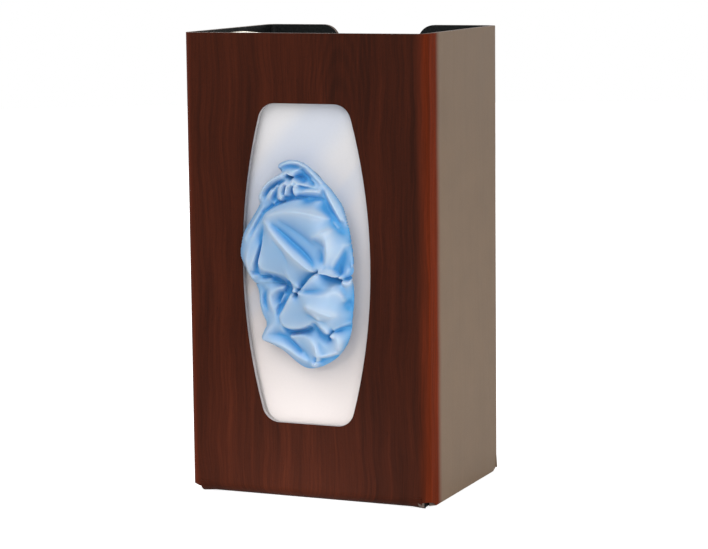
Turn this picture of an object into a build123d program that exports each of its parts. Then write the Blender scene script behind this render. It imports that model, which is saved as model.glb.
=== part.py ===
"""Wall and bench dispenser for disposable gloves, with its carton of gloves.

One plastic sheet is heat-bent round a carton: the front with its window, two
sides, two back flanges and a floor flap. The gloves come out of the carton
through the window. Millimetres, +Z up, front towards -Y. The origin is in the underside of
the floor flap, level with the sheet's lower edges, under the sheet's middle.
"""
import os

from build123d import *

# Folded sheet: outside sizes over the bends
shell_width = 141.7
shell_depth = 112.9
shell_height = 254.0
sheet_thickness = 3.0
bend_radius = 6.0

# Window in the front: a barrel with bowed sides
window_centre_x = 1.0
window_centre_z = 129.2
window_height = 174.4
window_waist = 75.3
window_end_width = 49.9
window_corner_radius = 10.0

# Back flanges
flange_gap = 48.8
flange_gap_centre_x = -1.2
flange_corner_radius = 10.0
keyhole_side_margin = 24.85
keyhole_end_margin = 38.0
keyhole_head_radius = 4.75
keyhole_slot_radius = 2.4
keyhole_slot_rise = 8.5

# Floor flap, folded back from the foot of the front
flap_left_clearance = 3.15
flap_right_clearance = 0.75
flap_back_clearance = 1.5
flap_corner_radius = 4.0

# Ends of the bends, which the heat swells and the relief cuts shorten
fold_swell = 0.6
fold_swell_length = 7.0
corner_swell = 0.6
corner_swell_height = 9.0
relief_radius = 12.0
front_relief_rise = 3.5
back_relief_rise = 2.4

# Glove carton, resting on the floor flap behind the window
carton_side_clearance = 3.85
carton_depth = 58.0
carton_height = 247.5
card_thickness = 0.6
card_fold_radius = 1.0
carton_opening_width = 46.0
carton_opening_height = 104.0
carton_opening_x = -2.0
carton_opening_z = 130.0
dust_flap_length = 46.0
seam_flap_width = 14.0
lifted_corner_rise = 1.5
lifted_corner_length = 34.0

# Gloves folded in the carton
stack_side_clearance = 1.2
stack_top_clearance = 3.0
stack_face_clearance = 0.5
stack_layers = 10
layer_stagger = 1.4
layer_corner_radius = 9.0
stack_back_clearance = 2.0

# Gloves pulled out of the opening. Each fold is a puffed pleat, given by its two
# ends and its girth; ends are (across, outwards, up) from the opening's centre.
fold_blunt_angle = 7
neck_clearance = 2.0
neck_reach = 9.0
glove_gap = 0.4
glove_root_clearance = 0.3
tuft_clearance = 0.4
window_pinch_clearance = 0.4
glove_seam_tilt = 8.0
glove_seam_drop = 6.0
cuff_bead_radius = 1.7
cuff_route = ((-6.5, 8.5, 54.5), (4, 10.5, 54), (14, 11.5, 46), (23, 11.5, 35), (29, 10.5, 18), (31, 9.5, 2))
upper_glove_folds = {
    "broad_panel": ((-12, 9, 14), (20, 10, 17), 12),
    "brow": ((-10, 13, 27), (19, 15.5, 23), 8),
    "slanting_ridge": ((-12, 15, 16), (14, 18, -2), 8),
    "front_lobe": ((-15, 10, 3), (8, 13, -5), 9),
    "panel_tip": ((-5, 10, -5), (5, 13, -10), 6),
    "panel_corner": ((8, 9, 32), (17, 8, 31), 6),
    "right_shoulder": ((22, 11, 24), (24, 10.5, 6), 7.5),
    "right_lobe": ((19, 10, 5), (24, 9, -2), 8),
    "far_right": ((30, 4.5, 14), (30, 4.5, -3), 5.5),
    "left_slope": ((-17, 9, 29), (-18, 8.5, 9), 7),
    "left_lobe": ((-25, 7.5, 25), (-26, 7, -3), 7),
    "left_swirl": ((-25, 6, -6), (-9, 6.5, -8), 5.5),
    "crown": ((-10, 6.5, 40), (15, 6.5, 38), 7.5),
    "pleat_root": ((-13, 7, 36), (-8, 7.5, 32), 6),
    "cuff_top": ((-5, 5.5, 52), (9, 6, 49), 6),
    "cuff_side": ((19, 6, 37), (29, 4.5, 20), 6.5),
    "left_roll": ((-6, 11, 49), (-20, 9.5, 36), 4.5),
    "long_pleat": ((-3.5, 13.5, 45), (-6, 14.5, 37), 3.5),
    "short_pleat": ((0.5, 13, 43), (1, 14, 38), 3.2),
    "small_pillow": ((6, 12.5, 40), (16, 12.5, 40), 4.2),
}
lower_glove_folds = {
    "broad_fold": ((-1, 10, -22), (21, 12.5, -22), 11),
    "broad_fold_left": ((-5, 8.5, -28), (3, 11, -15), 8),
    "crest": ((8, 15.5, -11), (23, 17, -6), 5.5),
    "crest_end": ((22, 12, -8), (28, 9, -9), 7),
    "broad_fold_foot": ((-4, 10, -30), (10, 11, -28), 7),
    "under_panel_tip": ((-5, 8, -10), (7, 12, -11), 6),
    "right_edge": ((26, 9.5, -12), (26.5, 8, -36), 6),
    "right_pocket": ((16, 12, -28), (21, 12, -35), 6.5),
    "right_foot": ((25, 7.5, -35), (23, 6.5, -45), 7),
    "left_shoulder": ((-23, 5.5, -11), (-12, 6, -11), 5),
    "left_column": ((-13, 8.5, -12), (-14, 8, -33), 5.5),
    "left_column_side": ((-19.5, 4.5, -12), (-18.5, 4.5, -31), 5),
    "left_foot": ((-15, 6.5, -33), (-4, 9.5, -31), 6.5),
    "left_tip": ((-11, 8, -37), (-20, 7, -41.5), 4),
    "bottom_left": ((-14, 6, -43), (1, 6.5, -48), 5),
    "hanging_lobe": ((-6, 5.5, -42), (23, 6.5, -40), 8),
    "bottom_flap": ((7, 10, -38), (10.5, 10, -50), 6),
    "bottom_hem": ((1, 5, -50), (17, 5.5, -49), 6.5),
}

# Derived places
half_width = shell_width / 2
front_y = -shell_depth / 2
back_y = shell_depth / 2
inside_width = shell_width - 2 * sheet_thickness
inside_depth = shell_depth - 2 * sheet_thickness
inner_bend_radius = bend_radius - sheet_thickness
bend_centre_x = half_width - bend_radius
bend_centre_y = back_y - bend_radius
flap_left_x = flap_left_clearance - inside_width / 2
flap_right_x = inside_width / 2 - flap_right_clearance
flap_width = flap_right_x - flap_left_x
flap_back_y = back_y - sheet_thickness - flap_back_clearance
fold_centre_y = front_y + bend_radius
keyhole_spacing_x = shell_width - 2 * keyhole_side_margin
keyhole_spacing_z = shell_height - 2 * keyhole_end_margin
carton_width = inside_width - 2 * carton_side_clearance
carton_inner_width = carton_width - 2 * card_thickness
carton_inner_depth = carton_depth - 2 * card_thickness
# The carton stands forward until its rounded lower edge meets the inside of the bend
carton_front_y = front_y + bend_radius - card_fold_radius
carton_back_y = carton_front_y + carton_depth
carton_mid_y = carton_front_y + carton_depth / 2
carton_top = sheet_thickness + carton_height
stack_front_y = carton_front_y + card_thickness + stack_face_clearance
stack_depth = carton_inner_depth - stack_face_clearance - stack_back_clearance
stack_width = carton_inner_width - 2 * stack_side_clearance
stack_bottom = sheet_thickness + 2 * card_thickness
stack_height = carton_height - 4 * card_thickness - stack_top_clearance
glove_root_y = stack_front_y - glove_root_clearance
tuft_back_y = carton_front_y - tuft_clearance
window_plane = Plane(origin=(window_centre_x, front_y, window_centre_z), x_dir=(1, 0, 0), z_dir=(0, -1, 0))


def fold_end(x, swell):
    """Section of the front's lower bend at x, its outside swollen by swell."""
    with BuildSketch(Plane.YZ.offset(x)) as section:
        with BuildLine():
            outer = CenterArc((fold_centre_y, bend_radius), bend_radius + swell, 180, 90)
            inner = CenterArc((fold_centre_y, bend_radius), inner_bend_radius, 180, 90)
            Line(outer @ 0, inner @ 0)
            Line(outer @ 1, inner @ 1)
        make_face()
    return section.sketch


def corner_end(side, z, swell):
    """Section of a back bend at height z, its outside swollen by swell."""
    start_angle = 0 if side > 0 else 90
    with BuildSketch(Plane.XY.offset(z)) as section:
        with BuildLine():
            centre = (side * bend_centre_x, bend_centre_y)
            outer = CenterArc(centre, bend_radius + swell, start_angle, 90)
            inner = CenterArc(centre, inner_bend_radius, start_angle, 90)
            Line(outer @ 0, inner @ 0)
            Line(outer @ 1, inner @ 1)
        make_face()
    return section.sketch


def from_opening(across, outwards, up):
    """A point of the pulled gloves, measured from the opening's centre."""
    return Vector(carton_opening_x + across, carton_front_y - outwards, carton_opening_z + up)


def puffed_fold(start, end, girth):
    """Half section of a puffed pleat with blunt ends, and the axis that it is revolved about."""
    first = from_opening(*start)
    along = from_opening(*end) - first
    fold_plane = Plane(origin=first, x_dir=along, z_dir=along.cross(Vector(0, 1, 0)))
    half_length = along.length / 2 + girth / 2
    with BuildSketch(fold_plane) as half_section:
        with BuildLine():
            outside = EllipticalCenterArc(
                (along.length / 2, 0),
                half_length,
                girth,
                start_angle=fold_blunt_angle,
                arc_size=180 - 2 * fold_blunt_angle,
            )
            far_end = outside @ 0
            near_end = outside @ 1
            Polyline(near_end, (near_end.X, 0), (far_end.X, 0), far_end)
        make_face()
    return half_section.sketch, Axis(first, along)


def window_outline(inset=0):
    """The barrel-shaped window about its own centre, drawn in by inset all round."""
    half_end = window_end_width / 2 - inset
    half_waist = window_waist / 2 - inset
    half_height = window_height / 2 - inset
    with BuildSketch() as outline:
        with BuildLine():
            top = Line((-half_end, half_height), (half_end, half_height))
            bottom = Line((half_end, -half_height), (-half_end, -half_height))
            ThreePointArc(top @ 1, (half_waist, 0), bottom @ 0)
            ThreePointArc(bottom @ 1, (-half_waist, 0), top @ 0)
        make_face()
        fillet(outline.vertices(), window_corner_radius - inset)
    return outline.sketch


def front_round_window():
    """The front sheet outside the window, which the pulled gloves keep clear of."""
    with BuildSketch(window_plane) as pinching_edge:
        Rectangle(shell_width, shell_height)
        add(window_outline(window_pinch_clearance), mode=Mode.SUBTRACT)
    return pinching_edge.sketch


def glove_neck():
    """Outline of the gloves where they come through the carton's opening."""
    with BuildSketch(Plane.XZ.offset(-glove_root_y)) as neck:
        with Locations((carton_opening_x, carton_opening_z)):
            Ellipse(carton_opening_width / 2 - neck_clearance, carton_opening_height / 2 - neck_clearance)
    return neck.sketch


# ---------------------------------------------------------------- folded sheet
with BuildPart() as dispenser_shell:
    # Front, sides and back flanges are one strip, bent at four corners
    with BuildSketch() as wrap_plan:
        RectangleRounded(shell_width, shell_depth, bend_radius)
        RectangleRounded(inside_width, inside_depth, inner_bend_radius, mode=Mode.SUBTRACT)
        with Locations((flange_gap_centre_x, back_y)):
            Rectangle(flange_gap, 2 * bend_radius, mode=Mode.SUBTRACT)
    extrude(amount=shell_height)

    # The flanges' free corners are rounded
    flange_ends = dispenser_shell.edges().filter_by(Axis.Y).filter_by_position(
        Axis.X, flange_gap_centre_x - flange_gap, flange_gap_centre_x + flange_gap
    )
    fillet(flange_ends, flange_corner_radius)

    # Barrel-shaped window
    with BuildSketch(window_plane):
        add(window_outline())
    extrude(amount=-sheet_thickness, mode=Mode.SUBTRACT)

    # Keyholes to hang the dispenser on four screws: head hole, then a slot above it
    with BuildSketch(Plane.XZ.offset(-back_y)) as keyholes:
        with Locations((0, shell_height / 2)):
            with GridLocations(keyhole_spacing_x, keyhole_spacing_z, 2, 2):
                Circle(keyhole_head_radius)
        with Locations((0, shell_height / 2 + keyhole_slot_rise / 2)):
            with GridLocations(keyhole_spacing_x, keyhole_spacing_z, 2, 2):
                SlotCenterToCenter(keyhole_slot_rise, 2 * keyhole_slot_radius, rotation=90)
    extrude(amount=sheet_thickness, mode=Mode.SUBTRACT)

    # The back bends swell out at their lower ends
    for side in (-1, 1):
        loft([corner_end(side, 0, corner_swell), corner_end(side, corner_swell_height, 0)])

    # Relief cuts shorten all four bends where they reach the floor
    for side in (-1, 1):
        for end, rise in ((-1, front_relief_rise), (1, back_relief_rise)):
            corner = (side * bend_centre_x, end * bend_centre_y, rise - relief_radius)
            with BuildSketch(Plane(origin=corner, z_dir=(side, end, 0))):
                Circle(relief_radius)
            extrude(amount=2 * bend_radius, mode=Mode.SUBTRACT)

    # The foot of the front makes way for the fold
    with BuildSketch(Plane.XZ.offset(-front_y)):
        with Locations((flap_left_x, 0)):
            Rectangle(flap_width, bend_radius, align=Align.MIN)
    extrude(amount=-sheet_thickness, mode=Mode.SUBTRACT)

    # Lower bend and floor flap
    with BuildSketch(Plane.YZ.offset(flap_left_x)) as fold_section:
        with BuildLine():
            outer_bend = CenterArc((fold_centre_y, bend_radius), bend_radius, 180, 90)
            inner_bend = CenterArc((fold_centre_y, bend_radius), inner_bend_radius, 180, 90)
            Line(outer_bend @ 0, inner_bend @ 0)
            Polyline(outer_bend @ 1, (flap_back_y, 0), (flap_back_y, sheet_thickness), inner_bend @ 1)
        make_face()
    extrude(amount=flap_width)
    flap_corners = dispenser_shell.edges().filter_by(Axis.Z).filter_by_position(
        Axis.Y, flap_back_y - flap_back_clearance / 2, flap_back_y + flap_back_clearance / 2
    )
    fillet(flap_corners, flap_corner_radius)

    # The lower bend swells at both ends of the fold
    for end_x, inward in ((flap_left_x, 1), (flap_right_x, -1)):
        loft([fold_end(end_x, fold_swell), fold_end(end_x + inward * fold_swell_length, 0)])
dispenser_shell.part.label = "dispenser_shell"


# ---------------------------------------------------------------- glove carton
with BuildPart() as glove_carton:
    # Four walls, with the glued seam flap inside the back
    with BuildSketch(Plane.XY.offset(sheet_thickness)) as carton_plan:
        with Locations((0, carton_mid_y)):
            Rectangle(carton_width, carton_depth)
            Rectangle(carton_inner_width, carton_inner_depth, mode=Mode.SUBTRACT)
    extrude(amount=carton_height)
    with BuildSketch(Plane.XY.offset(sheet_thickness)) as seam_plan:
        with Locations((carton_width / 2 - card_thickness, carton_back_y - card_thickness)):
            Rectangle(seam_flap_width, card_thickness, align=(Align.MAX, Align.MAX))
    extrude(amount=carton_height)

    # Closed ends: an outer flap over the two dust flaps
    for end_z, into in ((sheet_thickness, 1), (carton_top, -1)):
        with BuildSketch(Plane.XY.offset(end_z)):
            with Locations((0, carton_mid_y)):
                Rectangle(carton_width, carton_depth)
        extrude(amount=into * card_thickness)
        with BuildSketch(Plane.XY.offset(end_z + into * card_thickness)):
            for side in (-1, 1):
                with Locations((side * (carton_width - dust_flap_length) / 2, carton_mid_y)):
                    Rectangle(dust_flap_length, carton_depth)
        extrude(amount=into * card_thickness)

    # The glued top flap stands up a little at one corner
    with BuildSketch(Plane.XZ.offset(-carton_front_y)) as lifted_corner:
        with BuildLine():
            tip = (-carton_width / 2, carton_top + lifted_corner_rise)
            foot = (-carton_width / 2 + lifted_corner_length, carton_top)
            TangentArc(foot, tip, tangent=(-1, 0))
            Polyline(tip, (-carton_width / 2, carton_top), foot)
        make_face()
    extrude(amount=-carton_depth)

    lower_front_edge = glove_carton.edges().filter_by(Axis.X).group_by(Axis.Z)[0].sort_by(Axis.Y)[0]
    fillet(lower_front_edge, card_fold_radius)

    # Torn-out oval opening
    with BuildSketch(Plane.XZ.offset(-carton_front_y)) as opening:
        with Locations((carton_opening_x, carton_opening_z)):
            Ellipse(carton_opening_width / 2, carton_opening_height / 2)
    extrude(amount=-card_thickness, mode=Mode.SUBTRACT)
glove_carton.part.label = "glove_carton"


# ------------------------------------------------------- gloves in the carton
with BuildPart() as glove_stack:
    layer_thickness = stack_depth / stack_layers
    for layer in range(stack_layers):
        inset = layer_stagger * (layer % 2)
        layer_plane = Plane.XZ.offset(-(stack_front_y + layer * layer_thickness))
        with BuildSketch(layer_plane):
            with Locations((0, stack_bottom + stack_height / 2)):
                RectangleRounded(stack_width - 2 * inset, stack_height - 2 * inset, layer_corner_radius)
        extrude(amount=-layer_thickness)
glove_stack.part.label = "glove_stack"


# -------------------------------------------------------------- pulled gloves
# They part along a slanting seam, with the upper glove lying on the lower one
seam_middle = from_opening(0, 0, -glove_seam_drop)
seam_normal = Vector(0, 0, 1).rotate(Axis.Y, -glove_seam_tilt)
seam_plane = Plane(origin=seam_middle, x_dir=(0, 1, 0), z_dir=seam_normal)
tuft_back_plane = Plane(origin=(0, tuft_back_y, 0), x_dir=(1, 0, 0), z_dir=(0, -1, 0))

with BuildPart() as pulled_glove_upper:
    for fold in upper_glove_folds.values():
        half_section, fold_axis = puffed_fold(*fold)
        revolve(half_section, axis=fold_axis)
    # Rolled bead of the cuff, over the crown and down the right side
    with BuildLine() as cuff_line:
        Spline([from_opening(*point) for point in cuff_route])
    with BuildSketch(Plane(origin=cuff_line.line @ 0, z_dir=cuff_line.line % 0)):
        Circle(cuff_bead_radius)
    sweep()
    split(bisect_by=tuft_back_plane, keep=Keep.TOP)
    extrude(glove_neck(), amount=neck_reach)
    extrude(front_round_window(), amount=window_pinch_clearance, mode=Mode.SUBTRACT)
    extrude(front_round_window(), amount=-sheet_thickness - window_pinch_clearance, mode=Mode.SUBTRACT)
    split(bisect_by=seam_plane.offset(glove_gap / 2), keep=Keep.TOP)
pulled_glove_upper.part.label = "pulled_glove_upper"

with BuildPart() as pulled_glove_lower:
    for fold in lower_glove_folds.values():
        half_section, fold_axis = puffed_fold(*fold)
        revolve(half_section, axis=fold_axis)
    split(bisect_by=tuft_back_plane, keep=Keep.TOP)
    extrude(glove_neck(), amount=neck_reach)
    extrude(front_round_window(), amount=window_pinch_clearance, mode=Mode.SUBTRACT)
    extrude(front_round_window(), amount=-sheet_thickness - window_pinch_clearance, mode=Mode.SUBTRACT)
    split(bisect_by=seam_plane.offset(-glove_gap / 2), keep=Keep.BOTTOM)
pulled_glove_lower.part.label = "pulled_glove_lower"


os.makedirs("parts", exist_ok=True)
for piece in (dispenser_shell, glove_carton, glove_stack, pulled_glove_upper, pulled_glove_lower):
    export_step(piece.part, f"parts/{piece.part.label}.step")
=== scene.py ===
"""Looks of the disposable glove dispenser: a heat-bent sheet, its carton and the pulled gloves."""
import math

import bmesh
import bpy
import numpy as np
from mathutils import Matrix, Vector, noise


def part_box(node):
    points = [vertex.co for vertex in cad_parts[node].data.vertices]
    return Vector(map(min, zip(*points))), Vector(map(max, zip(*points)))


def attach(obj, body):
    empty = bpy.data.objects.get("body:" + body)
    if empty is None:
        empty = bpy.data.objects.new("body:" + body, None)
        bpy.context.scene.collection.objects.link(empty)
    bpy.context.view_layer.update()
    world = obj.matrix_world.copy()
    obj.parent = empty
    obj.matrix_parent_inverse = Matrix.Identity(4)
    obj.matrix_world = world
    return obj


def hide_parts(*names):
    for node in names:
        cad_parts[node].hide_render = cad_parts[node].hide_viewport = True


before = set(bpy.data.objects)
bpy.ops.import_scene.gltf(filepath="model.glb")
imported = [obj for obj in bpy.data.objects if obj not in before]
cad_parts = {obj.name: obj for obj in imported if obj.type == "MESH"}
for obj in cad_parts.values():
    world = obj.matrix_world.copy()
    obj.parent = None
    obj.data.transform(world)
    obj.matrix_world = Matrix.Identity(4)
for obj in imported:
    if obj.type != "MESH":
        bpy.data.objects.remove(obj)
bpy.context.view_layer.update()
MM = 0.001

# Places shared with the solids, in millimetres
shell_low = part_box("dispenser_shell")[0] / MM
carton_low, carton_high = (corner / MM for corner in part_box("glove_carton"))
stack_low, stack_high = (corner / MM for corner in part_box("glove_stack"))
half_width = 70.85
half_depth = 56.45
sheet_thickness = 3.0
bend_radius = 6.0
flap_half_width = 67.4
window_foot = (30.0, 34.0)
window_head = (229.0, 225.0)
opening_x = -2.0
opening_z = 130.0
carton_front_y = carton_low.y
glove_root_out = carton_front_y - stack_low.y + 0.3


# ------------------------------------------------------------------ node tools
class Wiring:
    """Short calls for building one node tree."""

    def __init__(self, tree):
        self.tree = tree

    def node(self, kind, **settings):
        made = self.tree.nodes.new(kind)
        for name, value in settings.items():
            setattr(made, name, value)
        return made

    def feed(self, socket, value):
        if isinstance(value, bpy.types.NodeSocket):
            self.tree.links.new(value, socket)
        else:
            socket.default_value = value

    def math(self, operation, *values, clamp=False):
        made = self.node("ShaderNodeMath", operation=operation, use_clamp=clamp)
        for socket, value in zip(made.inputs, values):
            self.feed(socket, value)
        return made.outputs[0]

    def plus(self, first, second):
        return self.math("ADD", first, second)

    def minus(self, first, second, clamp=False):
        return self.math("SUBTRACT", first, second, clamp=clamp)

    def times(self, first, second):
        return self.math("MULTIPLY", first, second)

    def larger(self, first, second):
        return self.math("MAXIMUM", first, second)

    def smaller(self, first, second):
        return self.math("MINIMUM", first, second)

    def is_below(self, first, second):
        return self.math("LESS_THAN", first, second)

    def bare_size(self, value):
        return self.math("ABSOLUTE", value)

    def length(self, first, second):
        squares = self.plus(self.times(first, first), self.times(second, second))
        return self.math("SQRT", squares)

    def step(self, value, start, end):
        """0 below start, 1 above end and a smooth change between them."""
        made = self.node("ShaderNodeMapRange", interpolation_type="SMOOTHSTEP")
        self.feed(made.inputs["Value"], value)
        made.inputs["From Min"].default_value = start
        made.inputs["From Max"].default_value = end
        return made.outputs["Result"]

    def band(self, value, start, full, full_end, end):
        """1 from full to full_end, and a smooth change down to 0 at start and at end."""
        return self.times(self.step(value, start, full), self.step(value, end, full_end))

    def scale(self, value, low, high, to_low, to_high):
        made = self.node("ShaderNodeMapRange", clamp=True)
        self.feed(made.inputs["Value"], value)
        made.inputs["From Min"].default_value = low
        made.inputs["From Max"].default_value = high
        made.inputs["To Min"].default_value = to_low
        made.inputs["To Max"].default_value = to_high
        return made.outputs["Result"]

    def mix(self, share, first, second, blend="MIX"):
        made = self.node("ShaderNodeMix", data_type="RGBA", blend_type=blend)
        self.feed(made.inputs[0], share)
        self.feed(made.inputs[6], first)
        self.feed(made.inputs[7], second)
        return made.outputs[2]

    def vector(self, x, y, z):
        made = self.node("ShaderNodeCombineXYZ")
        for socket, value in zip(made.inputs, (x, y, z)):
            self.feed(socket, value)
        return made.outputs[0]

    def noise(self, place, scale, detail=2.0, roughness=0.5):
        made = self.node("ShaderNodeTexNoise")
        self.feed(made.inputs["Vector"], place)
        made.inputs["Scale"].default_value = scale
        made.inputs["Detail"].default_value = detail
        made.inputs["Roughness"].default_value = roughness
        return made.outputs["Fac"]

    def bump(self, height, strength, distance, normal):
        made = self.node("ShaderNodeBump")
        self.feed(made.inputs["Height"], height)
        self.feed(made.inputs["Strength"], strength)
        made.inputs["Distance"].default_value = distance
        self.feed(made.inputs["Normal"], normal)
        return made.outputs[0]

    def shared(self, group, **values):
        """Places a shared effect, with this finish's own values for its inputs."""
        made = self.node("ShaderNodeGroup", node_tree=group)
        for name, value in values.items():
            self.feed(made.inputs[name.title()], value)
        return made.outputs[0]


def paint(red, green, blue):
    """A colour given as a colour chart does, 0 to 255, in the shader's linear values."""
    shares = (channel / 255 for channel in (red, green, blue))
    return (*(s / 12.92 if s <= 0.04045 else ((s + 0.055) / 1.055) ** 2.4 for s in shares), 1)


def grey(value):
    return (value, value, value, 1)


def new_material(name):
    material = bpy.data.materials.new(name)
    material.use_nodes = True
    wiring = Wiring(material.node_tree)
    shader = material.node_tree.nodes["Principled BSDF"]
    return material, wiring, shader


# ------------------------------------------- effects that several finishes share
def effect_group(name, result, result_kind, **starts):
    """An empty effect: its inputs with their starting values, and its one output."""
    group = bpy.data.node_groups.new(name, "ShaderNodeTree")
    group.interface.new_socket(name="Place", in_out="INPUT", socket_type="NodeSocketVector")
    for label, start in starts.items():
        socket = group.interface.new_socket(name=label.title(), in_out="INPUT", socket_type="NodeSocketFloat")
        socket.default_value = start
    group.interface.new_socket(name=result, in_out="OUTPUT", socket_type=result_kind)
    wiring = Wiring(group)
    given = wiring.node("NodeGroupInput").outputs
    handed_on = wiring.node("NodeGroupOutput").inputs
    return group, wiring, given, handed_on[result]


def grain_group():
    """Fine uneven grain from 0 to 1, which gives every finish its small detail."""
    group, wiring, given, grain = effect_group(
        "surface_grain", "Grain", "NodeSocketFloat", scale=100.0, detail=2.0, roughness=0.5, low=0.3,
        high=0.7)
    speckle = wiring.node("ShaderNodeTexNoise")
    wiring.feed(speckle.inputs["Vector"], given["Place"])
    for label in ("Scale", "Detail", "Roughness"):
        wiring.feed(speckle.inputs[label], given[label])
    spread = wiring.node("ShaderNodeMapRange", clamp=True)
    wiring.feed(spread.inputs["Value"], speckle.outputs["Fac"])
    wiring.feed(spread.inputs["From Min"], given["Low"])
    wiring.feed(spread.inputs["From Max"], given["High"])
    wiring.feed(grain, spread.outputs["Result"])
    return group


def waves_group():
    """Soft unevenness of a face that isn't quite flat, as a normal."""
    group, wiring, given, normal = effect_group(
        "surface_waves", "Normal", "NodeSocketVector", scale=10.0, detail=1.0, roughness=0.5, distortion=0.0,
        strength=0.5, distance=0.5 * MM)
    swell = wiring.node("ShaderNodeTexNoise")
    wiring.feed(swell.inputs["Vector"], given["Place"])
    for label in ("Scale", "Detail", "Roughness", "Distortion"):
        wiring.feed(swell.inputs[label], given[label])
    raised = wiring.node("ShaderNodeBump")
    wiring.feed(raised.inputs["Height"], swell.outputs["Fac"])
    wiring.feed(raised.inputs["Strength"], given["Strength"])
    wiring.feed(raised.inputs["Distance"], given["Distance"])
    wiring.feed(normal, raised.outputs["Normal"])
    return group


surface_grain = grain_group()
surface_waves = waves_group()


def object_place(wiring):
    """Object coordinates and their three parts."""
    place = wiring.node("ShaderNodeTexCoord").outputs["Object"]
    parts = wiring.node("ShaderNodeSeparateXYZ")
    wiring.feed(parts.inputs[0], place)
    return place, *parts.outputs


# -------------------------------------------------------------- folded sheet
def sheet_depth(wiring, x, y, z):
    """Depth under the sheet's outer face, in metres: 0 on the outside, -thickness on the inside."""
    straight_x = half_width - bend_radius
    straight_y = half_depth - bend_radius
    over_x = wiring.larger(wiring.minus(wiring.bare_size(x), straight_x * MM), 0.0)
    over_y = wiring.larger(wiring.minus(wiring.bare_size(y), straight_y * MM), 0.0)
    over_front = wiring.larger(wiring.minus(wiring.times(y, -1.0), straight_y * MM), 0.0)
    over_foot = wiring.larger(wiring.minus(bend_radius * MM, z), 0.0)
    wall = wiring.minus(wiring.length(over_x, over_y), bend_radius * MM)
    foot_fold = wiring.minus(wiring.length(over_front, over_foot), bend_radius * MM)

    # The fold to the floor flap counts only where the flap is, and elsewhere the wall alone
    flap_end = half_depth - 4.0
    on_flap = wiring.times(wiring.is_below(over_x, 0.02 * MM), wiring.is_below(y, flap_end * MM))
    deep = wiring.times(wiring.minus(1.0, on_flap), -1.0)
    fold_or_deep = wiring.plus(wiring.times(foot_fold, on_flap), deep)
    return wiring.larger(wall, fold_or_deep)


def wood_figure(wiring, along_x, z):
    """Colour of the printed wood grain at a place on the unrolled sheet, its pores and streaks."""
    u = wiring.times(along_x, 1 / MM)
    v = wiring.times(z, 1 / MM)
    # The grain leans a little to and fro on its way up
    sway_place = wiring.vector(wiring.times(u, 0.012), wiring.times(v, 0.014), 0.0)
    sway = wiring.noise(sway_place, 1.0, 2.0)
    bent_u = wiring.plus(u, wiring.times(wiring.minus(sway, 0.5), 14.0))

    def grain(per_u, per_v, seed, detail):
        place = wiring.vector(wiring.times(bent_u, per_u), wiring.times(v, per_v), seed)
        return wiring.noise(place, 1.0, detail, 0.6)

    bands = wiring.scale(grain(0.075, 0.0045, 3.1, 3.0), 0.3, 0.7, 0.0, 1.0)
    streaks = wiring.scale(grain(0.42, 0.012, 7.7, 3.0), 0.3, 0.7, 0.0, 1.0)
    fine = wiring.scale(grain(1.3, 0.03, 11.3, 2.0), 0.28, 0.72, 0.0, 1.0)
    pores = wiring.step(grain(2.2, 0.16, 17.9, 1.0), 0.63, 0.72)

    # Pointed arches of the heartwood, high on the front right of its middle
    arch_middle = 22.0
    arch_u = wiring.times(wiring.minus(bent_u, arch_middle), 7.0)
    arch_v = wiring.minus(v, 150.0)
    rings = wiring.math("SINE", wiring.times(wiring.length(arch_u, arch_v), 0.42))
    off_middle = wiring.bare_size(wiring.minus(u, arch_middle))
    arch_zone = wiring.times(wiring.step(v, 185.0, 225.0), wiring.step(off_middle, 26.0, 12.0))
    arches = wiring.times(wiring.scale(rings, -1.0, 1.0, 0.0, 1.0), arch_zone)

    tone = wiring.plus(wiring.times(bands, 0.42), wiring.times(streaks, 0.36))
    tone = wiring.plus(tone, wiring.times(fine, 0.22))
    tone = wiring.minus(tone, wiring.times(arches, 0.16))
    # Painted shade: the print is darkened towards the right of the front, where less light falls
    painted_right_shade = wiring.band(bent_u, 8.0, 48.0, 66.0, 78.0)
    tone = wiring.minus(tone, wiring.times(painted_right_shade, 0.2), clamp=True)
    ramp = wiring.node("ShaderNodeValToRGB")
    wiring.feed(ramp.inputs[0], tone)
    first, last = ramp.color_ramp.elements
    first.position, first.color = 0.12, paint(50, 22, 13)
    last.position, last.color = 0.88, paint(80, 35, 20)
    middle = ramp.color_ramp.elements.new(0.5)
    middle.color = paint(65, 28, 16)
    colour = wiring.mix(wiring.times(pores, 0.4), ramp.outputs[0], paint(44, 18, 11))
    return colour, pores, streaks


def film_cover(wiring, x, z, behind_front):
    """1 where the wood film covers the outside: the front, its bends and the flap's face below."""
    full_cover, no_cover = 14.0 * MM, 22.0 * MM
    wobble = wiring.noise(wiring.vector(0.0, 0.0, z), 18.0, 1.0)
    edge_place = wiring.plus(behind_front, wiring.times(wiring.minus(wobble, 0.5), 2.5 * MM))
    on_flap = wiring.times(wiring.is_below(z, 1.0 * MM),
                           wiring.is_below(wiring.bare_size(x), flap_half_width * MM))
    return wiring.larger(wiring.step(edge_place, no_cover, full_cover), on_flap)


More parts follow.
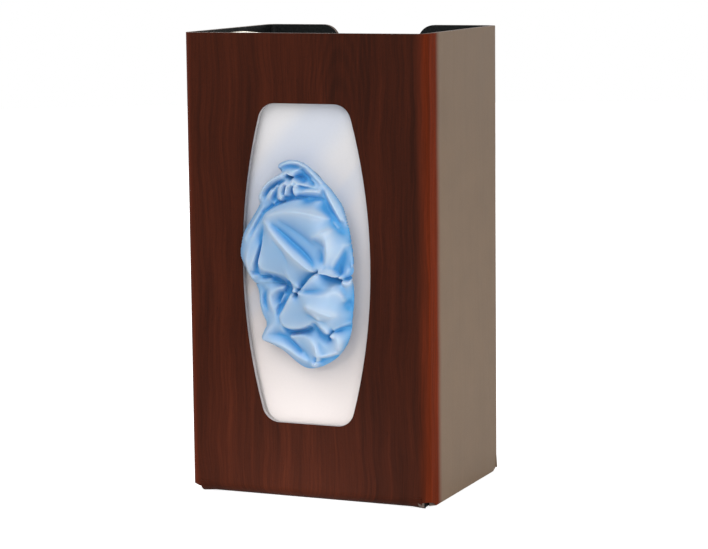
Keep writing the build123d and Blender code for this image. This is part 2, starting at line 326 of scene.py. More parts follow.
def sheet_material():
    material, wiring, shader = new_material("formed_wood_grain_sheet")
    place, x, y, z = object_place(wiring)
    depth = sheet_depth(wiring, x, y, z)
    # The three kinds of face: the printed outside, the black inside and the cut edges between them
    outside = wiring.step(depth, -0.45 * MM, -0.15 * MM)
    inside = wiring.step(depth, (0.15 - sheet_thickness) * MM, (0.03 - sheet_thickness) * MM)
    behind_front = wiring.plus(y, half_depth * MM)
    film = film_cover(wiring, x, z, behind_front)

    # Across the sheet as it lay flat, so that the grain runs on round the bends
    across_flat = wiring.plus(wiring.bare_size(x), behind_front)
    wood, pores, streaks = wood_figure(wiring, wiring.times(wiring.math("SIGN", x), across_flat), z)

    mottle = wiring.shared(surface_grain, place=place, scale=55.0, detail=3.0)
    grit = wiring.shared(surface_grain, place=place, scale=1400.0)
    taupe_share = wiring.plus(wiring.times(mottle, 0.5), wiring.times(grit, 0.3))
    taupe = wiring.mix(taupe_share, paint(115, 96, 78), paint(126, 106, 87))
    # Painted highlight: round the vertical bends the wood is painted paler and redder where light from the
    # right falls on them, and its gloss there is made duller
    past_flat = wiring.minus(wiring.bare_size(x), (half_width - bend_radius) * MM)
    painted_light = wiring.step(past_flat, 0.0, bend_radius * MM)
    painted_highlight_wood = wiring.mix(painted_light, wood, (2.55, 1.8, 1.3, 1), blend="MULTIPLY")
    outer_colour = wiring.mix(film, taupe, painted_highlight_wood)

    # Black hair-cell grain inside and sawn outer edges; the cut edge round the window is painted far paler,
    # as painted light on that poorly lit face
    hair = wiring.shared(
        surface_grain, place=place, scale=900.0, detail=3.0, roughness=0.65, low=0.42, high=0.62)
    inner_colour = wiring.mix(hair, paint(17, 19, 19), paint(27, 30, 30))
    chatter = wiring.shared(surface_grain, place=place, scale=300.0)
    sawn = wiring.mix(chatter, paint(104, 90, 82), paint(122, 108, 100))
    painted_lit_edge = wiring.mix(chatter, paint(176, 172, 172), paint(194, 190, 190))
    foot_start, foot_full = window_foot
    head_end, head_full = window_head
    in_window = wiring.band(z, foot_start * MM, foot_full * MM, head_full * MM, head_end * MM)
    cut_colour = wiring.mix(in_window, sawn, painted_lit_edge)
    colour = wiring.mix(outside, wiring.mix(inside, cut_colour, inner_colour), outer_colour)
    wiring.feed(shader.inputs["Base Color"], colour)

    rough_outside = wiring.plus(wiring.times(streaks, 0.06), wiring.plus(0.34, wiring.times(mottle, 0.05)))
    rough_within = wiring.mix(inside, grey(0.75), grey(0.42))
    wiring.feed(shader.inputs["Roughness"], wiring.mix(outside, rough_within, rough_outside))
    gloss = wiring.scale(film, 0.0, 1.0, 0.12, 0.06)
    dulled = wiring.times(wiring.times(painted_light, film), 0.055)
    wiring.feed(shader.inputs["Specular IOR Level"], wiring.minus(gloss, dulled))

    waves = wiring.shared(surface_waves, place=place, scale=9.0, distance=0.6 * MM)
    pit_strength = wiring.minus(0.55, wiring.times(outside, 0.42))
    pits = wiring.bump(hair, pit_strength, 0.12 * MM, waves)
    tick_strength = wiring.times(wiring.times(outside, film), 0.5)
    ticks = wiring.bump(wiring.minus(1.0, pores), tick_strength, 0.05 * MM, pits)
    wiring.feed(shader.inputs["Normal"], ticks)
    return material


# -------------------------------------------------------------- glove carton
def carton_material():
    material, wiring, shader = new_material("printed_card")
    place, x, y, z = object_place(wiring)
    # Two soft ribbons run slantwise over the card, one broad and one narrow
    slant = wiring.plus(wiring.times(x, 0.74), wiring.times(z, -0.67))
    drift = wiring.times(wiring.minus(wiring.noise(place, 9.0, 1.0), 0.5), 10 * MM)
    ribbon_place = wiring.plus(slant, drift)
    broad = wiring.band(ribbon_place, -150 * MM, -138 * MM, -128 * MM, -112 * MM)
    narrow = wiring.band(ribbon_place, -104 * MM, -99 * MM, -96 * MM, -88 * MM)
    # Painted shade: the card is painted darker and warmer towards its foot, from 225 mm up down to 95 mm up
    # and below
    high_share = wiring.step(z, 95 * MM, 225 * MM)
    field = wiring.mix(high_share, paint(229, 220, 217), paint(233, 232, 234))
    field = wiring.mix(wiring.times(broad, 0.75), field, paint(212, 218, 231))
    field = wiring.mix(wiring.times(narrow, 0.45), field, paint(214, 219, 230))
    fibre = wiring.shared(
        surface_grain, place=place, scale=700.0, detail=3.0, roughness=0.6, low=0.35, high=0.65)
    field = wiring.mix(wiring.times(fibre, 0.06), field, paint(206, 203, 198))

    # Bare board shows on the cut edges, which lie between the outer and the inner face
    low, high = carton_low * MM, carton_high * MM
    from_side = wiring.minus(high.x, wiring.bare_size(x))
    from_front = wiring.minus(y, low.y)
    from_back = wiring.minus(high.y, y)
    from_foot = wiring.minus(z, low.z)
    from_top = wiring.minus(high.z - 1.6 * MM, z)
    depth = wiring.smaller(wiring.smaller(from_side, wiring.smaller(from_front, from_back)),
                           wiring.smaller(from_foot, from_top))
    bare = wiring.step(depth, 0.04 * MM, 0.12 * MM)
    on_top = wiring.step(z, high.z - 1.8 * MM, high.z - 1.5 * MM)
    covered = wiring.mix(on_top, field, paint(226, 215, 188))
    colour = wiring.mix(bare, covered, paint(178, 160, 138))
    wiring.feed(shader.inputs["Base Color"], colour)
    wiring.feed(shader.inputs["Roughness"], wiring.scale(fibre, 0.0, 1.0, 0.42, 0.55))
    shader.inputs["Specular IOR Level"].default_value = 0.35
    waves = wiring.shared(surface_waves, place=place, scale=22.0, strength=0.35)
    wiring.feed(shader.inputs["Normal"], wiring.bump(fibre, 0.25, 0.05 * MM, waves))
    return material


# ---------------------------------------------------------------- glove film
def film_material():
    material, wiring, shader = new_material("glove_film")
    place = wiring.node("ShaderNodeTexCoord").outputs["Object"]
    cloud = wiring.shared(surface_grain, place=place, scale=60.0)
    painted_light_share = wiring.node("ShaderNodeAttribute", attribute_name="painted_light_share").outputs["Fac"]
    grain = wiring.shared(surface_grain, place=place, scale=2600.0)
    # Painted light and shade: the film is painted pale on its ridges and deep blue in its creases
    painted_shade = wiring.mix(cloud, paint(60, 149, 211), paint(68, 154, 214))
    painted_light = wiring.mix(cloud, paint(186, 207, 230), paint(192, 211, 232))
    colour = wiring.mix(painted_light_share, painted_shade, painted_light)
    grained = wiring.mix(wiring.times(grain, 0.12), colour, paint(150, 198, 232))
    wiring.feed(shader.inputs["Base Color"], grained)
    wiring.feed(shader.inputs["Roughness"], wiring.scale(grain, 0.0, 1.0, 0.4, 0.52))
    shader.inputs["Specular IOR Level"].default_value = 0.4
    shader.inputs["Subsurface Weight"].default_value = 0.25
    shader.inputs["Subsurface Radius"].default_value = (0.35, 0.7, 1.0)
    shader.inputs["Subsurface Scale"].default_value = 1.6 * MM
    shader.inputs["Sheen Weight"].default_value = 0.3
    shader.inputs["Sheen Roughness"].default_value = 0.4
    creases = wiring.shared(
        surface_waves, place=place, scale=240.0, detail=3.0, roughness=0.55, distortion=0.6, strength=0.22,
        distance=0.35 * MM)
    wiring.feed(shader.inputs["Normal"], wiring.bump(grain, 0.12, 0.03 * MM, creases))
    return material


# Folds of the pulled film: how tightly the film is held there, then points given as
# (across, outwards, up) from the middle of the carton's opening, in millimetres
tight, firm, slack, loose = 40.0, 4.0, 1.0, 0.2
upper_folds = {
    "slanting_ridge": (firm, (-16, 17.5, 24), (-9, 22, 18), (-2, 25, 12), (5.5, 27, 6.5), (12.5, 27, 1),
        (16.5, 24.5, -3)),
    "panel_top_edge": (tight, (-17.5, 15, 23), (-16, 16, 27), (-9, 17, 31.5), (-1, 17, 35),
        (6.5, 17, 36.5), (16, 15, 35.5)),
    "panel_top_low": (tight, (-19, 11, 28), (-12.5, 11, 32), (-4.5, 11, 35), (4, 12, 37), (16.5, 12, 36)),
    "panel_valley": (loose, (-11, 14, 22.5), (-4.5, 13, 17.5), (2, 13, 12.5), (8.5, 12.5, 7.5),
        (13, 12, 2.5), (16, 12, -2.5)),
    "right_crease": (firm, (17, 13, 38), (18.5, 11.5, 33), (21.5, 11.5, 27), (25.5, 11.5, 20.5),
        (30.5, 11, 16.5)),
    "right_shoulder": (slack, (16, 15, 33), (23.5, 16, 23), (28.5, 15, 13)),
    "far_right_crease": (tight, (31, 13, 12), (28, 11, 5.5), (25, 10.5, 0), (25.5, 10, -4),
        (28, 10, -6.5)),
    "far_right_ridge": (tight, (31, 11, 11.5), (32, 11, 6), (31.5, 10, 0.5), (31.5, 10, -4.5)),
    "right_lobe_ridge": (tight, (29, 15, 12.5), (27, 17, 7), (24.5, 18, 3.5), (23, 17, 0)),
    "dimple_ridge": (slack, (14, 22.5, 16.5), (18, 24, 18), (23, 24.5, 20.5)),
    "dimple_valley": (slack, (15, 19.5, 14.5), (20, 19, 11.5)),
    "lower_dimple": (firm, (16, 19.5, 11), (18.5, 18, 8.5), (18, 17, 4)),
    "front_lobe_edge": (tight, (-16.5, 16, 16.5), (-18, 17, 8), (-19.5, 18, 1.5), (-19, 17, -1.5),
        (-13, 17, -3), (-7.5, 18, -3.5), (-2, 20, -4), (-1, 20, -6), (4.5, 20, -10.5), (6.5, 19, -12.5)),
    "under_front_lobe": (tight, (-25, 11, -4.5), (-22.5, 9.5, -6), (-16.5, 8.5, -6.5), (-11.5, 8.5, -7.5),
        (-7.5, 9, -10), (-3, 10, -12.5), (2, 12, -15)),
    "facet_ridge": (tight, (-10.5, 20, 14), (-1, 22, 5.5), (-1, 21, -4.5)),
    "left_crease": (tight, (-17, 16, 24), (-19, 12.5, 17.5), (-19.5, 11, 10.5), (-21, 11, 4),
        (-23, 11, -1.5), (-25, 11, -5.5)),
    "outer_left_ridge": (tight, (-17, 12.5, 28.5), (-22, 14, 19.5), (-25, 15, 10), (-27.5, 15.5, 3.5),
        (-27, 15, -2.5), (-25.5, 12.5, -8)),
    "left_arm_ridge": (firm, (-17, 13, 32), (-21, 14, 26), (-25.5, 14, 18.5), (-29.5, 13, 13)),
    "left_arm_crease": (tight, (-14.5, 13, 32.5), (-19, 11.5, 27), (-23, 11.5, 20.5), (-26, 13, 15.5)),
    "lower_left_ridge": (firm, (-19, 15.5, 14.5), (-21, 16.5, 6.5), (-24, 16.5, -0.5), (-25, 14, -6)),
    "swirl_ridge": (tight, (-25.5, 12, -6.5), (-22, 13, -6), (-17.5, 12, -6), (-15, 11, -6)),
    "swirl_low": (tight, (-24.5, 11, -9.5), (-18.5, 12, -9.5), (-13, 12, -6.5)),
    "long_pleat": (tight, (-3.5, 18, 44.5), (-2.5, 19, 42.5), (-3, 19.5, 40), (-6, 17.5, 35.5)),
    "short_pleat": (tight, (0.5, 17.5, 44), (2, 19, 41.5), (1.5, 17, 37.5)),
    "left_pleat": (tight, (-9.5, 15.5, 43), (-11, 16, 39.5), (-13.5, 15, 36)),
    "left_roll": (tight, (-3.5, 17, 50), (-12, 16, 46), (-17, 15, 42), (-20, 14, 36.5), (-20, 12, 34)),
    "left_roll_crease": (tight, (-3.5, 14, 46.5), (-11, 10, 43.5), (-16.5, 10, 39), (-17.5, 12.5, 35)),
    "peak_fold": (tight, (-2.5, 17, 50), (0, 16, 47), (4, 15, 44), (8.5, 14, 43), (16, 14, 41)),
    "cuff_cavity": (tight, (-3.5, 7, 48.5), (0, 6, 47.5), (5, 7.5, 45.5)),
    "pillow": (firm, (5.5, 15.5, 39.5), (9.5, 17.5, 41.5), (15.5, 17, 41), (16.5, 15, 39.5)),
    "pillow_crease": (tight, (4, 10, 36.5), (10.5, 10.5, 36), (17, 11, 36)),
    "cuff_bead": (tight, (-9.5, 11, 52.5), (-5, 12.5, 55), (0.5, 13, 56), (7, 13.5, 54.5), (14, 13.5, 49),
        (22, 13.5, 42), (27, 13.5, 35), (30.5, 12.5, 26)),
    "cuff_film": (firm, (-7.5, 10, 52.5), (-2, 9.5, 53.5), (3.5, 9.5, 51.5), (9, 10, 48),
        (14.5, 11, 43.5)),
    "panel_brow": (slack, (-15, 17.5, 26.5), (-6.5, 22, 29), (2.5, 24.5, 30.5), (12, 26, 30),
        (20, 25.5, 28.5), (26, 21.5, 21)),
    "right_brow": (firm, (22.5, 23, 16.5), (23, 22.5, 9.5), (20.5, 19, 0)),
    "pleat_gap_left": (tight, (-9, 14, 43), (-11, 11, 39.5), (-12, 11, 36), (-11, 15, 32.5)),
    "pleat_gap_middle": (tight, (-3, 13.5, 44), (-3.5, 12, 41), (-4.5, 12, 37.5), (-4, 15, 35)),
    "pleat_gap_right": (tight, (1, 13.5, 44), (0.5, 10.5, 40.5), (1, 10.5, 38.5), (2.5, 14, 36)),
    "cuff_strip": (firm, (17, 13, 43.5), (23, 14.5, 36), (27.5, 14.5, 29.5), (30, 12.5, 22.5)),
    "pillow_top_crease": (tight, (4, 12, 43), (9.5, 12, 42), (15.5, 13, 41.5)),
    "left_pleat_low": (tight, (-13, 14, 41), (-15, 14, 37.5), (-17, 13, 34.5)),
    "cuff_lip": (firm, (-9, 11.5, 50.5), (-4, 13, 50), (0.5, 13, 51), (3.5, 12.5, 52.5)),
    "cuff_streak": (firm, (3.5, 8.5, 51.5), (7, 8.5, 48), (11, 9.5, 44)),
    "cuff_streak_ridge": (firm, (7.5, 12, 52), (12, 12.5, 48.5), (16, 13, 44.5)),
    "cuff_groove": (tight, (16, 11.5, 41), (20, 12, 33), (25, 12, 25), (28, 11, 19)),
    "cuff_outer_groove": (firm, (16.5, 11.5, 44), (22, 11.5, 37.5), (26.5, 11.5, 31), (29, 11, 23.5)),
    "far_right_pleat": (firm, (32.5, 12.5, 1.5), (30.5, 12.5, -2), (29, 11.5, -5.5)),
    "panel_hollow": (loose, (-6, 17.5, 24.5), (1, 17.5, 21), (8.5, 18, 16.5), (14.5, 18.5, 12)),
    "cuff_wrinkle_high": (firm, (-5.5, 10.5, 54), (-1, 9.8, 54), (3.5, 9.8, 52.5), (7, 10.2, 50)),
    "cuff_wrinkle": (firm, (9.5, 12, 46.5), (13.5, 12.8, 44), (15.5, 13, 42.5)),
    "strip_wrinkle": (firm, (19, 14.5, 41), (23.5, 15, 33.5), (28, 14.5, 25.5)),
    "strip_wrinkle_low": (firm, (21, 12, 40), (26, 12.5, 32.5), (29.5, 12, 25)),
    "long_pleat_side": (tight, (-5.5, 17.5, 43.5), (-6, 18, 40.5), (-7.5, 16, 36)),
}
lower_folds = {
    "column_outer": (tight, (-20.5, 10, -13), (-21.5, 10, -19), (-20, 10, -26.5), (-17, 11, -32)),
    "column_crease": (tight, (-17, 12, -12.5), (-20, 8, -17.5), (-20, 8, -22.5), (-16, 12, -27)),
    "column_ridge": (tight, (-5.5, 14, -11), (-11, 14, -13.5), (-15, 14, -16), (-14, 14, -22),
        (-11, 14, -26), (-11.5, 14, -32), (-15.5, 13, -35), (-20.5, 11, -41.5)),
    "column_right_crease": (tight, (-2.5, 12, -9), (-7, 8, -14.5), (-10, 8, -21), (-10.5, 12.5, -26)),
    "column_right_edge": (tight, (-6, 14, -12.5), (-8, 13, -17.5), (-11, 13.5, -23.5)),
    "column_foot": (firm, (-10, 13, -28), (-8.5, 14, -33.5), (-7, 13, -36)),
    "crest": (tight, (6, 20, -12), (13, 23.5, -5), (18.5, 25.5, -2), (23, 25, -2), (26, 21.5, -4.5),
        (29, 17, -7.5), (31.5, 15, -8.5), (33, 11, -5.5)),
    "crest_behind": (tight, (3.5, 14, -13.5), (10.5, 17, -6.5), (15, 18, -2), (18, 14, -3),
        (21.5, 12, -4.5), (25, 10, -6), (27.5, 9, -7), (32, 8.5, -5.5)),
    "crest_low": (firm, (8.5, 19, -13), (15.5, 19.5, -12), (21, 19.5, -11), (24.5, 18.5, -10)),
    "big_fold_top": (tight, (1.5, 20, -13), (6, 21.5, -13.5), (13.5, 23, -15), (21, 23, -14.5),
        (25, 20, -12), (28.5, 17, -14), (29, 15, -17.5)),
    "right_shoulder_low": (tight, (28.5, 14, -10), (30, 12, -17)),
    "dark_slit": (firm, (31, 11, -16.5), (30, 8.5, -20), (31.5, 10, -23)),
    "big_fold_ridge": (firm, (11, 25, -20.5), (14.5, 25, -23), (17.5, 24, -27)),
    "big_fold_bottom": (tight, (-7.5, 16, -27.5), (-6, 16, -32.5), (-1, 17, -33.5), (6, 18, -32.5),
        (12, 20, -29.5), (16, 21, -27.5)),
    "under_big_fold": (tight, (-7.5, 14, -33), (-5.5, 8, -36.5), (1, 8, -36.5), (10.5, 13, -33)),
    "big_fold_left": (tight, (1.5, 20, -13), (-3, 18, -21), (-7.5, 16, -27.5)),
    "big_fold_left_low": (firm, (-3, 12, -15), (-8, 9.5, -22.5), (-11, 11, -27.5)),
    "right_edge_high": (tight, (16, 21, -28), (18.5, 20, -32), (22, 18, -37)),
    "right_edge_low": (tight, (13, 17, -30), (14.5, 12.5, -35.5), (18.5, 12.5, -39.5)),
    "right_rim": (tight, (31, 10, -28.5), (30, 12, -30), (24.5, 16, -32), (22.5, 17, -35.5)),
    "bottom_right_crease": (tight, (20, 10.5, -38.5), (21.5, 11, -35), (26, 11, -33), (30.5, 8.5, -32)),
    "bottom_right_ridge": (tight, (24, 15, -35.5), (26, 16, -39.5), (25.5, 15, -44)),
    "bottom_right_edge": (tight, (13, 15, -49), (19, 15, -47.5), (24, 14, -46)),
    "bottom_right_low": (tight, (11, 10, -52), (19, 10, -50), (23.5, 9, -48)),
    "centre_facet": (slack, (9.5, 14, -31), (13.5, 15, -38), (17, 15, -42), (21.5, 14, -46)),
    "tongue": (tight, (-2.5, 14, -38.5), (4.5, 15, -37), (10.5, 17, -39.5), (14, 18, -43.5),
        (14, 17, -49.5), (10.5, 15, -53.5)),
    "tongue_low": (firm, (1, 14, -40.5), (5, 11, -47.5), (8, 12, -51.5)),
    "tongue_right_low": (firm, (14.5, 15, -41), (14.5, 13.5, -46.5), (13.5, 13, -51)),
    "flap_ridge": (tight, (-20.5, 11, -41.5), (-12.5, 12, -43), (-5.5, 13, -45), (0.5, 13, -49),
        (6, 13, -51.5)),
    "flap_crease": (tight, (-16.5, 11.5, -38.5), (-9.5, 9, -38.5), (-4, 9, -41.5), (2, 9.5, -46.5)),
    "centre_wrinkle": (slack, (11.5, 26, -20), (18.5, 26.5, -22.5), (25, 25, -25)),
    "centre_wrinkle_low": (slack, (10.5, 20, -25), (17.5, 20, -28), (23, 19, -30)),
    "bottom_wrinkle": (firm, (16, 13, -47.5), (20.5, 13.5, -47), (24.5, 13, -45.5)),
    "bottom_wrinkle_low": (firm, (12, 10, -50), (18, 10, -50), (23, 10, -48)),
}

# Outline of the whole tuft, from its top round the right side; (across, up)
tuft_top = [(-11, 53.5), (-7, 56), (-1, 57), (5.5, 55), (11.5, 50), (15.5, 46), (20.5, 41.5),
    (24.5, 36.5), (27, 33), (29, 27), (30.5, 21), (31.5, 15.5), (32.5, 9.5), (33, 2.5), (33, -4)]
tuft_bottom = [(33, -4), (33, -18), (32, -26.5), (31.5, -33.5), (29.5, -41), (25, -47.5), (20, -51.5),
    (13.5, -55), (7, -56.5), (2.5, -55.5), (-3, -52), (-8, -47.5), (-17, -43.5), (-22.5, -42), (-21, -38),
    (-18, -33), (-21.5, -27.5), (-23, -20.5), (-23, -15.5), (-25, -11)]
tuft_left = [(-27.5, -9), (-33, 1), (-34, 5), (-33.5, 8), (-32, 16), (-28.5, 21.5), (-24.5, 27.5),
    (-21, 33), (-23, 35.5), (-21, 40), (-17, 44.5), (-10.5, 48.5), (-7, 50), (-10, 51.5)]
seam = [(33, -4), (28, -6), (26, -5), (22.5, -3.5), (18.5, -2), (16, -2), (11.5, -6), (4.5, -13),
    (1.5, -15), (-3, -12), (-8, -10), (-16, -10), (-24, -11.5), (-25, -11)]

# How the film settles over its folds, in millimetres
rim_out = 9.0
first_out = 13.0
puff = 0.035
finest = 0.4
settling_rounds = 160
smoothing_rounds = 3

# How the film is gathered behind its rim: how far in towards the neck, and how far out it then is
neck_half_across = 20.0
neck_half_up = 49.0
gathered_rings = ((0.1, 7.6), (0.3, 6.0), (0.6, 4.2), (0.9, 2.6), (1.0, 1.2), (1.0, 0.4 - glove_root_out))


def placed(name, data):
    """A new object with this mesh, lamp or camera, at the origin of the scene."""
    made = bpy.data.objects.new(name, data)
    bpy.context.scene.collection.objects.link(made)
    return made


def rounded(outline, rounds=2):
    """Cuts the corners of a closed outline, so that it runs smoothly."""
    points = np.array(outline, float)
    for _ in range(rounds):
        ahead = np.roll(points, -1, axis=0)
        points = np.stack([0.75 * points + 0.25 * ahead, 0.25 * points + 0.75 * ahead], 1).reshape(-1, 2)
    return points


def softened(path):
    """The same once for an open line, whose ends stay."""
    points = np.array(path, float)
    first, last = points[:1], points[-1:]
    near = 0.75 * points[:-1] + 0.25 * points[1:]
    far = 0.25 * points[:-1] + 0.75 * points[1:]
    between = np.stack([near, far], 1).reshape(-1, points.shape[1])[1:-1]
    return np.concatenate([first, between, last])


def is_inside(outline, across, up):
    inside = np.zeros(across.shape, bool)
    for (x0, z0), (x1, z1) in zip(outline, np.roll(outline, -1, axis=0)):
        if z0 == z1:
            continue
        crosses = (up > min(z0, z1)) & (up <= max(z0, z1))
        inside ^= crosses & (across < x0 + (up - z0) * (x1 - x0) / (z1 - z0))
    return inside


def sum_around(heights):
    """The four neighbours of every place on a net, added up."""
    wider = np.pad(heights, 1, mode="edge")
    return wider[2:, 1:-1] + wider[:-2, 1:-1] + wider[1:-1, 2:] + wider[1:-1, :-2]


def fold_grip(folds, across, up, spacing):
    """How hard the folds hold each place of a net, and the same times the height they hold it at."""
    hold = np.zeros(across.shape)
    pull = np.zeros(across.shape)
    for tightness, *points in folds:
        line = softened(points)
        for start, end in zip(line[:-1], line[1:]):
            run_x, run_z = end[0] - start[0], end[2] - start[2]
            run_squared = run_x**2 + run_z**2 + 1e-9
            share = ((across - start[0]) * run_x + (up - start[2]) * run_z) / run_squared
            share = np.clip(share, 0, 1)
            away = (across - start[0] - share * run_x) ** 2 + (up - start[2] - share * run_z) ** 2
            grip = tightness * np.exp(-away / (0.3 * spacing**2 + 0.04))
            hold += grip
            pull += grip * (start[1] + share * (end[1] - start[1]))
    return hold, pull


def tuft_heights(outline, folds):
    """How far the film stands out over a square net, drawn tight over its folds and puffed between."""
    margin = 2.0
    low = outline.min(0) - margin
    high = outline.max(0) + margin
    heights = None
    for spacing in (finest * 8, finest * 4, finest * 2, finest):
        across, up = np.meshgrid(np.arange(low[0], high[0] + spacing, spacing),
                                 np.arange(low[1], high[1] + spacing, spacing))
        hold, pull = fold_grip(folds, across, up, spacing)
        outside = ~is_inside(outline, across, up)
        if heights is None:
            heights = np.full(across.shape, first_out)
        else:
            grown = np.repeat(np.repeat(heights, 2, 0), 2, 1)
            rows, columns = across.shape
            heights = np.pad(grown, ((0, 4), (0, 4)), mode="edge")[:rows, :columns]
        heights[outside] = rim_out
        for _ in range(settling_rounds):
            settled = (sum_around(heights) + puff * spacing**2 + pull) / (4 + hold)
            heights = np.where(outside, rim_out, settled)
    for _ in range(smoothing_rounds):
        heights = np.where(outside, rim_out, 0.4 * heights + 0.15 * sum_around(heights))
    return low, heights


def painted_light_map(heights):
    """Painted light and shade of the film: 1 on a ridge, painted lit, and 0 in a crease, painted shaded,
    after how far each place stands out from the level around it.
    """
    level_share = 0.46
    share = np.full(heights.shape, level_share)
    for rounds, span in ((40, 4.5), (400, 8.0)):
        level = heights
        for _ in range(rounds):
            level = sum_around(level) / 4
        share = share + (heights - level) / span
    return np.clip(share, 0, 1)


def towards_neck(across, up, share):
    """A place on the tuft's rim drawn in by share towards the neck in the carton's opening."""
    reach = math.hypot(across / neck_half_across, up / neck_half_up)
    factor = 1 - share * (1 - min(1.0, 1 / max(reach, 1e-6)))
    return across * factor, up * factor


def nearest_on(outline, point):
    starts, ends = outline, np.roll(outline, -1, axis=0)
    runs = ends - starts
    share = np.clip(((point - starts) * runs).sum(1) / ((runs**2).sum(1) + 1e-12), 0, 1)
    feet = starts + share[:, None] * runs
    return feet[((feet - point) ** 2).sum(1).argmin()]


def pulled_glove(name, outline, low, heights, painted_light_share):
    """One glove's share of the tuft: its film over the net, and its gathered back down to the neck."""
    rows, columns = heights.shape
    mesh = bpy.data.meshes.new(name)
    work = bmesh.new()
    painted_light_layer = work.verts.layers.float.new("painted_light_share")
    bmesh.ops.create_grid(work, x_segments=columns - 1, y_segments=rows - 1, size=0.5)
    for vertex in work.verts:
        column = round((vertex.co.x + 0.5) * (columns - 1))
        row = round((vertex.co.y + 0.5) * (rows - 1))
        vertex.co = (low[0] + column * finest, low[1] + row * finest, heights[row, column])
        vertex[painted_light_layer] = painted_light_share[row, column]
    centres = np.array([face.calc_center_median()[:2] for face in work.faces])
    kept = is_inside(outline, centres[:, 0], centres[:, 1])
    cut_away = [face for face, keep in zip(work.faces, kept) if not keep]
    bmesh.ops.delete(work, geom=cut_away, context="FACES")
    for vertex in [v for v in work.verts if v.is_boundary]:
        vertex.co.x, vertex.co.y = nearest_on(outline, np.array(vertex.co[:2]))

    ring = [edge for edge in work.edges if edge.is_boundary]
    for share, out in gathered_rings:
        made = bmesh.ops.extrude_edge_only(work, edges=ring)["geom"]
        ring = [item for item in made if isinstance(item, bmesh.types.BMEdge) and item.is_boundary]
        for vertex in [item for item in made if isinstance(item, bmesh.types.BMVert)]:
            vertex.co.x, vertex.co.y = towards_neck(vertex.co.x, vertex.co.y, share)
            vertex.co.z = min(vertex.co.z - 0.3, out)
    bmesh.ops.holes_fill(work, edges=ring, sides=0)
    for vertex in work.verts:
        across, up, out = vertex.co
        vertex.co = ((opening_x + across) * MM, (carton_front_y - out) * MM, (opening_z + up) * MM)
    bmesh.ops.recalc_face_normals(work, faces=work.faces)
    for face in work.faces:
        face.smooth = True
    work.to_mesh(mesh)
    work.free()
    return placed(name, mesh)


def folded_gloves():
    """The gloves left in the carton: thin folded layers lying against each other, each a little wavy."""
    layers = 18
    leaf_share = 0.78
    wave_share = 0.08
    mesh = bpy.data.meshes.new("folded_gloves")
    stack_work = bmesh.new()
    middle = (stack_low + stack_high) / 2
    width = stack_high.x - stack_low.x
    height = stack_high.z - stack_low.z
    pitch = (stack_high.y - stack_low.y) / layers
    for layer in range(layers):
        leaf = bmesh.new()
        bmesh.ops.create_grid(leaf, x_segments=20, y_segments=34, size=0.5)
        inset = 1.2 * (layer % 3)
        front_y = stack_low.y + pitch * layer
        for vertex in leaf.verts:
            x, z = vertex.co.x, vertex.co.y
            corner = max(0.0, abs(x) * 2 - 0.86) * max(0.0, abs(z) * 2 - 0.93)
            sway = noise.noise(Vector((x * 3.1, layer * 1.7, z * 6.3)))
            vertex.co = Vector((middle.x + x * (width - 2 * inset) * (1 - corner * 3.0),
                                front_y + pitch * (0.12 + wave_share * sway),
                                middle.z + z * (height - 2 * inset) * (1 - corner * 1.6)))
        bmesh.ops.solidify(leaf, geom=leaf.faces[:], thickness=pitch * leaf_share)
        bmesh.ops.scale(leaf, vec=(MM, MM, MM), verts=leaf.verts)
        bmesh.ops.recalc_face_normals(leaf, faces=leaf.faces)
        leaf.to_mesh(mesh)
        leaf.free()
        stack_work.from_mesh(mesh)
    for face in stack_work.faces:
        face.smooth = True
    stack_work.to_mesh(mesh)
    stack_work.free()
    return placed("folded_gloves", mesh)


# ---------------------------------------------------------------- the pieces
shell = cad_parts["dispenser_shell"]
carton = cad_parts["glove_carton"]
for piece, material in ((shell, sheet_material()), (carton, carton_material())):
    piece.data.materials.clear()
    piece.data.materials.append(material)

film = film_material()
whole_outline = rounded(tuft_top + tuft_bottom[1:] + tuft_left)
low, heights = tuft_heights(whole_outline, list(upper_folds.values()) + list(lower_folds.values()))
upper_outline = rounded(tuft_top + seam[1:-1] + tuft_left)
lower_outline = rounded(tuft_bottom + seam[::-1][1:-1])
painted_light_share = painted_light_map(heights)
film_pieces = {
    "pulled_glove_upper": pulled_glove("upper_glove", upper_outline, low, heights, painted_light_share),
    "pulled_glove_lower": pulled_glove("lower_glove", lower_outline, low, heights, painted_light_share),
    "glove_stack": folded_gloves(),
}
for node, piece in film_pieces.items():
    piece.data.materials.append(film)
    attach(piece, "root")
    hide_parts(node)

# ------------------------------------------------------------------ the stage
floor_brightness = 0.8
floor_mesh = bpy.data.meshes.new("floor")
floor_work = bmesh.new()
bmesh.ops.create_circle(floor_work, cap_ends=True, segments=96, radius=3.0)
for vertex in floor_work.verts:
    vertex.co.z = shell_low.z * MM
floor_work.to_mesh(floor_mesh)
floor_work.free()
floor = placed("floor", floor_mesh)
floor_material, floor_wiring, floor_shader = new_material("pale_floor")
floor_shader.inputs["Base Color"].default_value = grey(floor_brightness)
floor_shader.inputs["Roughness"].default_value = 0.9
floor_shader.inputs["Specular IOR Level"].default_value = 0.1
floor_shader.inputs["Emission Color"].default_value = grey(1)
# Only the camera sees the floor's own glow, so it adds no light to the object
floor_seen = floor_wiring.node("ShaderNodeLightPath").outputs["Is Camera Ray"]
floor_wiring.feed(floor_shader.inputs["Emission Strength"], floor_wiring.times(floor_seen, floor_brightness))
floor.data.materials.append(floor_material)

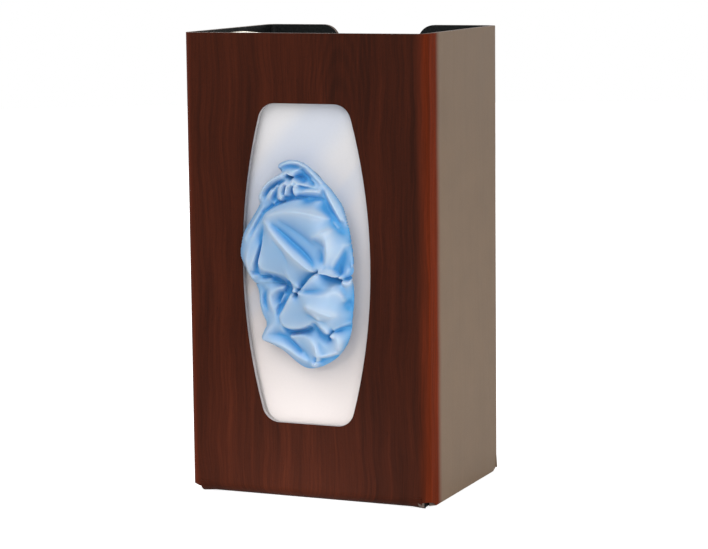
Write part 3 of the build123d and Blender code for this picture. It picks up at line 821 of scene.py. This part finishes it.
# White where it is seen or reflected, and plainer as a light
world_light = 0.42
world = bpy.data.worlds.new("studio")
bpy.context.scene.world = world
world.use_nodes = True
world_wiring = Wiring(world.node_tree)
background = world.node_tree.nodes["Background"]
ray = world_wiring.node("ShaderNodeLightPath").outputs
reflected = world_wiring.larger(ray["Is Glossy Ray"], ray["Is Transmission Ray"])
seen = world_wiring.larger(ray["Is Camera Ray"], reflected)
world_wiring.feed(background.inputs["Strength"], world_wiring.scale(seen, 0.0, 1.0, world_light, 1.0))
background.inputs["Color"].default_value = grey(1)


def aimed(lamp, place, aim):
    held = placed(lamp.name, lamp)
    held.location = place
    held.rotation_euler = (Vector(aim) - Vector(place)).to_track_quat("-Z", "Y").to_euler()


window_middle = (0, 0, 0.13)
side_foot = (0.071, 0, 0.05)
for name, place, aim, size, watts in (
        ("key_softbox", (-0.12, -1.18, 1.45), window_middle, (1.2, 1.2), 12.2),
        ("right_front_softbox", (0.9, -1.2, 0.5), window_middle, (0.8, 0.8), 4.4),
        ("right_softbox", (0.43, -0.07, 0.05), side_foot, (0.3, 0.1), 0.58),
        ("back_softbox", (-0.9, 1.3, 0.9), window_middle, (0.8, 0.8), 9)):
    softbox = bpy.data.lights.new(name, "AREA")
    softbox.shape = "RECTANGLE"
    softbox.size, softbox.size_y = size
    softbox.energy = watts
    aimed(softbox, place, aim)

low_snoot = bpy.data.lights.new("low_snoot", "SPOT")
low_snoot.energy = 95
low_snoot.spot_size = 0.112
low_snoot.spot_blend = 1.0
low_snoot.shadow_soft_size = 0.05
aimed(low_snoot, (-0.25, -1.5, 0.45), (0.0, -0.056, -0.018))

camera_place = (0.54787, -1.27284, 0.31099)
camera_ahead = Vector((-0.38846, 0.91094, -0.13886)).normalized()
camera_over = Vector((-0.04439, 0.13202, 0.99025))
camera_data = bpy.data.cameras.new("camera")
camera_data.lens = 126.92
camera_data.sensor_width = 36.0
camera = placed("camera", camera_data)
camera_right = camera_ahead.cross(camera_over).normalized()
camera_over = camera_right.cross(camera_ahead)
camera_turn = Matrix((camera_right, camera_over, -camera_ahead)).transposed().to_4x4()
camera.matrix_world = Matrix.Translation(camera_place) @ camera_turn
bpy.context.scene.camera = camera
bpy.context.scene.view_settings.view_transform = "Standard"
